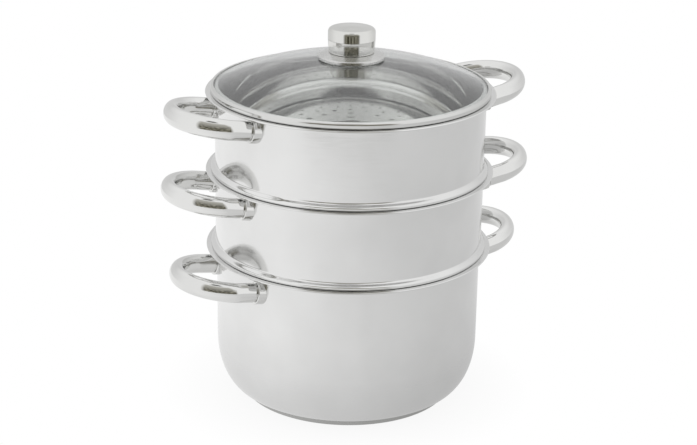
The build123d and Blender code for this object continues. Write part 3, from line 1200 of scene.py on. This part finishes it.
@dataclass
class Knob:
    """Two pressed halves on a flanged base plate."""

    foot: float = 0.36932
    cup_radius: float = 0.0236
    cup_edge: float = 0.0008
    cap_radius: float = 0.0244
    height: float = 0.0266
    seam: float = 0.0136
    sheet: float = 0.001
    edge: float = 0.004
    crown: float = 0.0012
    bore: float = 0.0026
    seam_gap: float = 0.0001
    seam_edge: float = 0.00012
    plate_radius: float = 0.0344
    plate_edge: float = 0.0041
    plate_rise: float = 0.0025
    plate_sheet: float = 0.0012
    plate_inset: float = 0.0016
    plate_foot: float = 0.0004
    plate_gap: float = 0.0001
    cone_margin: float = 0.001
    cone_drop: float = 0.0002
    spigot_depth: float = 0.003
    spigot_gap: float = 0.0001
    sectors: int = 128

    def model_cup(self) -> Object:
        """Turn the knob's lower half.

        Returns:
            The cup.
        """
        under = self.foot
        seam = under + self.seam - self.seam_gap
        soft = self.seam_edge
        edge = self.cup_edge
        floor = under + self.sheet
        outer = self.cup_radius - edge
        profile = [(self.bore, under), (outer, under)]
        profile += arc((outer, under + edge), edge, -80, -5, 6)
        profile += arc((self.cap_radius - soft, seam - soft), soft, 0, 90, 4)
        profile += [(self.cap_radius - self.sheet, seam), (self.cup_radius - self.sheet, floor)]
        profile += [(self.bore, floor), (self.bore, under)]
        return turn_on_axis("knob_cup_turned", profile, self.sectors)

    def model_cap(self) -> Object:
        """Turn the knob's upper half with its crown and spigot.

        Returns:
            The cap.
        """
        sheet = self.sheet
        soft = self.seam_edge
        seam = self.foot + self.seam
        top = self.foot + self.height
        edge_top = top - self.crown
        flat = self.cap_radius - self.edge
        corner = (flat, edge_top - self.edge)
        inner = self.cap_radius - sheet
        taper = (self.cap_radius - self.cup_radius) / self.seam
        spigot = inner - self.spigot_depth * taper - self.spigot_gap
        tip = seam - self.spigot_depth
        profile = arc((self.cap_radius - soft, seam + soft), soft, 270, 360, 4)
        profile += arc(corner, self.edge, 0, 84, 12)
        profile += self.crown_line(flat, edge_top, top, 0.0)
        profile += self.crown_line(flat, edge_top, top, sheet)[::-1]
        profile += arc(corner, self.edge - sheet, 84, 0, 8)
        profile += [(inner, seam + sheet), (spigot - sheet, seam)]
        profile += [(spigot - sheet, tip), (spigot, tip)]
        profile += [(spigot, seam), (self.cap_radius - soft, seam)]
        return turn_on_axis("knob_cap_turned", profile, self.sectors)

    def crown_line(self, flat: float, low: float, top: float, inwards: float) -> list[Point]:
        """The soft crown of the cap, from its edge to the axis.

        Args:
            flat: Radius where the crown starts.
            low: Height there.
            top: Height in the middle.
            inwards: How far under the outside the line lies.

        Returns:
            Points towards the axis.
        """
        shares = [step / 8 for step in range(1, 9)]
        return [
            (flat * (1 - share), low + (top - low) * soft_share(share) - inwards)
            for share in shares
        ]

    def model_plate(self) -> Object:
        """Turn the pressed base plate: rolled edge, shallow cone, flat middle.

        Returns:
            The plate.
        """
        sheet = self.plate_sheet
        inset = self.plate_inset
        foot = self.plate_foot
        middle = self.foot - self.plate_gap
        edge_top = middle - self.plate_rise
        under = edge_top - self.plate_edge
        shoulder = self.plate_radius - inset
        cone = (self.cup_radius + self.cone_margin, middle - self.cone_drop)
        profile = arc((self.plate_radius - foot, under + foot), foot, 270, 360, 3)
        profile += arc((shoulder, edge_top - inset), inset, 0, 75, 8)
        profile += [cone, (self.cup_radius, middle), (self.bore, middle)]
        profile += [(self.bore, middle - sheet), (self.cup_radius, middle - sheet)]
        profile += [(shoulder - sheet, edge_top - sheet), (self.plate_radius - sheet, under)]
        profile += [(self.plate_radius - foot, under)]
        return turn_on_axis("knob_plate_turned", profile, self.sectors)

    def build(self, finishes: Finishes) -> None:
        """Model, dress and seat the knob and its plate.

        Args:
            finishes: The finishes of the whole set.
        """
        for piece, node, finish in (
            (self.model_plate(), "knob_plate", finishes.plate),
            (self.model_cup(), "knob_cup", finishes.knob),
            (self.model_cap(), "knob_cap", finishes.knob),
        ):
            dress(piece, finish)
            seat(piece, "lid", "polished_steel", node)


# Studio


@dataclass(frozen=True)
class Camera:
    """The camera where the photograph was taken from."""

    azimuth: float = -120.5
    distance: float = 1.7814
    height: float = 0.8245
    pitch: float = 0.3455
    roll: float = 0.0177
    lens: float = 92.35
    sensor: float = 36.0
    clip: Span = (0.01, 50.0)

    def build(self) -> None:
        """Stand the camera and make it the scene's."""
        azimuth = radians(self.azimuth)
        data = bpy.data.cameras.new("camera")
        data.sensor_width = self.sensor
        data.lens = self.lens
        data.clip_start, data.clip_end = self.clip
        camera = bpy.data.objects.new("camera", data)
        bpy.context.scene.collection.objects.link(camera)
        camera.matrix_world = (
            Matrix.Translation(around(self.distance, azimuth, self.height))
            @ Matrix.Rotation(azimuth + pi / 2, 4, "Z")
            @ Matrix.Rotation(pi / 2 - self.pitch, 4, "X")
            @ Matrix.Rotation(self.roll, 4, "Z")
        )
        bpy.context.scene.camera = camera


@dataclass(frozen=True)
class SoftBox:
    """A soft box that faces the stack, and that no camera, mirror or glass shows.

    Its turn is from the camera's direction, positive to the right, and its glow the
    brightness of its face.
    """

    name: str
    turn: float
    distance: float
    height: float
    size: Point
    glow: float
    aim_height: float = 0.2

    def build(self, camera_azimuth: float) -> None:
        """Stand the box.

        Args:
            camera_azimuth: The camera's azimuth.
        """
        data = bpy.data.lights.new(self.name, "AREA")
        data.shape = "RECTANGLE"
        data.size, data.size_y = self.size
        data.energy = self.glow * pi * self.size[0] * self.size[1]
        box = bpy.data.objects.new(self.name, data)
        bpy.context.scene.collection.objects.link(box)
        box.location = around(self.distance, radians(camera_azimuth + self.turn), self.height)
        facing = Vector((0, 0, self.aim_height)) - box.location
        box.rotation_euler = facing.to_track_quat("-Z", "Y").to_euler()
        box.visible_camera = False
        box.visible_glossy = False
        box.visible_transmission = False


@dataclass(frozen=True)
class Floor:
    """The pale round table top, which keeps the stack's soft shadow.

    The ramps are shares of its light: by the distance from the axis, and in mirrors by
    how far to the camera's left a place lies, 1 for the left and -1 for the right. In
    mirrors they paint light and shade on it: a painted shadow near the base, painted
    shade towards the right and painted light from the left.
    """

    radius: float = 1.36
    level: float = -0.0004
    sectors: int = 128
    colour: Colour = (0.86, 0.86, 0.86)
    glow_shares: Ramp = Ramp(0.12, 0.2, 0.9, 1.0)
    # Painted shade in mirrors: darker near the base as a painted shadow of the stack, darker towards
    # the right, and brightest to the left as painted light from the left box.
    painted_base_shade: Ramp = Ramp(0.12, 0.36, 0.84, 1.0)
    painted_left_light: Ramp = Ramp(-0.25, 0.8, 0.8, 1.0)
    painted_right_shade: Ramp = Ramp(-1.0, -0.1, 0.88, 1.0)

    def material(self, camera_azimuth: float) -> Material:
        """Build the table top's material: a plain glow that shadows still darken.

        Args:
            camera_azimuth: The camera's azimuth.

        Returns:
            The material.
        """
        left = radians(camera_azimuth - 90)
        material, shader, output = new_shader("pale table")
        path = shader.add("ShaderNodeLightPath", {})
        place = shader.place()
        distance = shader.vector_math("LENGTH", place).outputs["Value"]
        towards = shader.vector_math("NORMALIZE", place).outputs["Vector"]
        leftness = shader.vector_math("DOT_PRODUCT", towards, (cos(left), sin(left), 0))
        side = leftness.outputs["Value"]
        # Painted light and shade in mirrors: the glow is dimmed towards the right and near the base,
        # where it paints the stack's shadow.
        mirrored = shader.spread(side, self.painted_left_light)
        mirrored = shader.math("MULTIPLY", mirrored, shader.spread(side, self.painted_right_shade))
        mirrored = shader.math("MULTIPLY", mirrored, shader.spread(distance, self.painted_base_shade))
        direct = shader.math("SUBTRACT", 1.0, path.outputs["Is Glossy Ray"])
        strength = shader.math("MAXIMUM", mirrored, direct)
        glow_share = shader.spread(distance, self.glow_shares)
        share = shader.math("MULTIPLY", shader.seen_share(path), glow_share)
        board = shader.add("ShaderNodeBsdfDiffuse", {"Color": self.colour})
        glow = shader.add("ShaderNodeEmission", {"Color": WHITE, "Strength": strength})
        both = {0: share, 1: board.outputs[0], 2: glow.outputs[0]}
        shader.fill(output, {"Surface": shader.add("ShaderNodeMixShader", both).outputs[0]})
        return material

    def build(self, camera_azimuth: float) -> None:
        """Lay the table top.

        Args:
            camera_azimuth: The camera's azimuth.
        """
        deselect()
        bpy.ops.mesh.primitive_circle_add(
            vertices=self.sectors, radius=self.radius, fill_type="NGON", location=(0, 0, self.level)
        )
        floor = bpy.context.object
        floor.name = "floor"
        floor.data.materials.append(self.material(camera_azimuth))


@dataclass(frozen=True)
class Room:
    """A white room that steel mirrors with a dark, cluttered gap on the camera's side.

    Heights are the upward part of a direction, 1 straight up. Facing is 1 towards the
    camera and -1 away from it.
    """

    gap_half_angle: float = 37.0
    gap_blur: float = 5.0
    gap_heights: Ramp = Ramp(0.76, 0.84, 1.0, 0.0)
    clutter_scale: float = 10.0
    clutter_shares: Ramp = Ramp(0.42, 0.66)
    clutter_colours: tuple[Colour, Colour] = ((0.045, 0.042, 0.026), (0.42, 0.4, 0.33))
    haze_heights: Ramp = Ramp(0.1, 0.72)
    haze_colour: Colour = (0.52, 0.51, 0.47)
    wall_facing: Ramp = Ramp(-1.0, 0.1)
    wall_colour: Colour = (0.72, 0.72, 0.72)
    ceiling_heights: Ramp = Ramp(0.35, 0.75)
    beam_low: Ramp = Ramp(0.84, 0.9)
    beam_high: Ramp = Ramp(0.955, 0.985, 1.0, 0.0)
    beam_half_angles: Span = (26.0, 14.0)
    beam_colour: Colour = (0.14, 0.14, 0.13)
    flat_limit: float = 0.0001
    strengths: Ramp = Ramp(0.0, 1.0, 0.55, 1.0)

    def mirrored(self, shader: Shader, camera_azimuth: float) -> NodeSocket:
        """The room as the steel mirrors it.

        Args:
            shader: The world's shader helper.
            camera_azimuth: The camera's azimuth.

        Returns:
            The colour.
        """
        azimuth = radians(camera_azimuth)
        way = shader.add("ShaderNodeTexCoord", {}).outputs["Generated"]
        x, y, height = shader.split(way)
        flat = shader.math("MAXIMUM", shader.flat_length(x, y), self.flat_limit)
        along = shader.weigh(x, y, cos(azimuth), sin(azimuth))
        facing = shader.math("DIVIDE", along, flat)
        clutter = shader.spread(shader.noise(way, self.clutter_scale, 4), self.clutter_shares)
        dark = shader.blend(clutter, *self.clutter_colours)
        dark = shader.blend(shader.spread(height, self.haze_heights), dark, self.haze_colour)
        pale = shader.blend(shader.spread(facing, self.wall_facing), self.wall_colour, WHITE)
        pale = shader.blend(shader.spread(height, self.ceiling_heights), pale, WHITE)
        ahead = shader.spread(facing, Ramp(*(cos(radians(turn)) for turn in self.beam_half_angles)))
        low = shader.spread(height, self.beam_low)
        beam = shader.math("MULTIPLY", low, shader.spread(height, self.beam_high))
        pale = shader.blend(shader.math("MULTIPLY", beam, ahead), pale, self.beam_colour)
        half_angles = (self.gap_half_angle + self.gap_blur, self.gap_half_angle - self.gap_blur)
        gap = shader.spread(facing, Ramp(*(cos(radians(turn)) for turn in half_angles)))
        gap = shader.math("MULTIPLY", gap, shader.spread(height, self.gap_heights))
        return shader.blend(gap, pale, dark)

    def build(self, camera_azimuth: float) -> None:
        """Make the room the scene's world.

        Args:
            camera_azimuth: The camera's azimuth.
        """
        world = bpy.data.worlds.new("room")
        world.use_nodes = True
        world.node_tree.nodes.clear()
        shader = Shader(world.node_tree)
        path = shader.add("ShaderNodeLightPath", {})
        mirrored = self.mirrored(shader, camera_azimuth)
        colour = shader.blend(path.outputs["Is Glossy Ray"], WHITE, mirrored)
        strength = shader.spread(shader.seen_share(path), self.strengths)
        back = shader.add("ShaderNodeBackground", {"Color": colour, "Strength": strength})
        shader.add("ShaderNodeOutputWorld", {"Surface": back.outputs[0]})
        bpy.context.scene.world = world


@dataclass
class Studio:
    """Camera, plain pale floor, pale room and two soft boxes."""

    camera: Camera = Camera()
    floor: Floor = Floor()
    room: Room = Room()
    boxes: tuple[SoftBox, ...] = (
        SoftBox("left box", -93.0, distance=1.15, height=0.55, size=(1.5, 1.0), glow=1.15),
        SoftBox("right box", 78.0, distance=1.35, height=0.7, size=(0.9, 1.0), glow=1.3),
    )

    def build(self) -> None:
        """Set up the camera, the floor, the room and the soft boxes."""
        self.camera.build()
        for part in (self.floor, self.room, *self.boxes):
            part.build(self.camera.azimuth)
        bpy.context.scene.view_settings.view_transform = "Standard"


def main() -> None:
    """Build the studio and every piece, from the base up."""
    logging.basicConfig(level=logging.INFO, format="%(message)s")
    Studio().build()
    finishes = Finishes()
    pot = StockPot()
    pot.build(finishes)
    steamer = Steamer()
    steamer.build(finishes)
    wall = steamer.wall_radius
    loop = LoopHandle().model_loop()
    for tier in (
        Tier("pot", pot.wall_radius, rim_level=pot.height, handle_drop=0.0184, turn=0.0),
        Tier("lower_steamer", wall, rim_level=0.246, handle_drop=0.0152, turn=-6.3),
        Tier("upper_steamer", wall, rim_level=0.329, handle_drop=0.0152, turn=-1.8),
    ):
        tier.build_handles(loop, finishes)
    bpy.data.objects.remove(loop, do_unlink=True)
    GlassLid().build(finishes)
    Knob().build(finishes)


if __name__ == "__main__":
    main()
